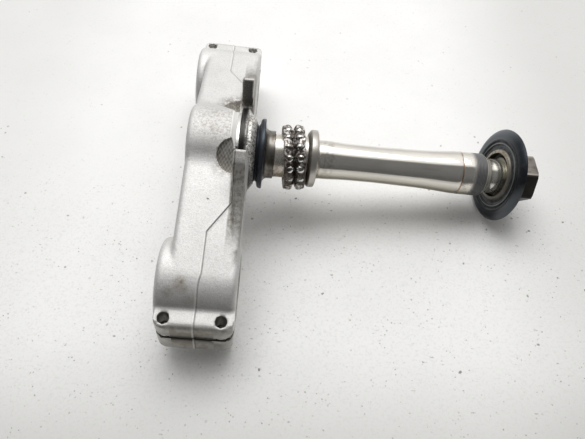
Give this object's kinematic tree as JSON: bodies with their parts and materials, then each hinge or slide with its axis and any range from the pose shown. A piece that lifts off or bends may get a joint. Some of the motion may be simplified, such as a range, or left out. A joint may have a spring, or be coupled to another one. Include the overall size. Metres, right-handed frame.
{
  "type": "motorcycle lower triple clamp",
  "caption": "Lower fork yoke with slotted fork clamps, turned hub, steering stops and a pressed-in stem that carries loose head bearings, a dust cover and a nut.",
  "frame": {"origin": "on the steering stem's axis, halfway along the fork clamps", "axes": "+X along the stem from the clamp toward the nut, +Y from fork clamp to fork clamp, +Z out of the rear face, away from the fork tubes' side"},
  "size_m": [0.2463, 0.254, 0.0917],
  "materials": {
    "cast_aluminium": "cast skin with machined faces",
    "stem_steel": "ground and plated",
    "race_steel": "polished",
    "seal_rubber": "satin",
    "cage_steel": "greasy pressed steel",
    "ball_steel": "polished with grease",
    "cover_metal": "worn plating",
    "cover_rubber": "satin",
    "nut_steel": "dark oxide"
  },
  "bodies": {
    "root": {"clamp_body": "cast_aluminium", "steering_stem": "stem_steel", "lower_race": "race_steel", "lower_seal": "seal_rubber", "lower_cage": "cage_steel", "lower_balls": "ball_steel", "upper_cage": "cage_steel", "upper_balls": "ball_steel", "upper_race": "race_steel", "cover_dish": "cover_metal", "cover_rim": "cover_rubber", "stem_nut": "nut_steel"}
  },
  "joints": []
}
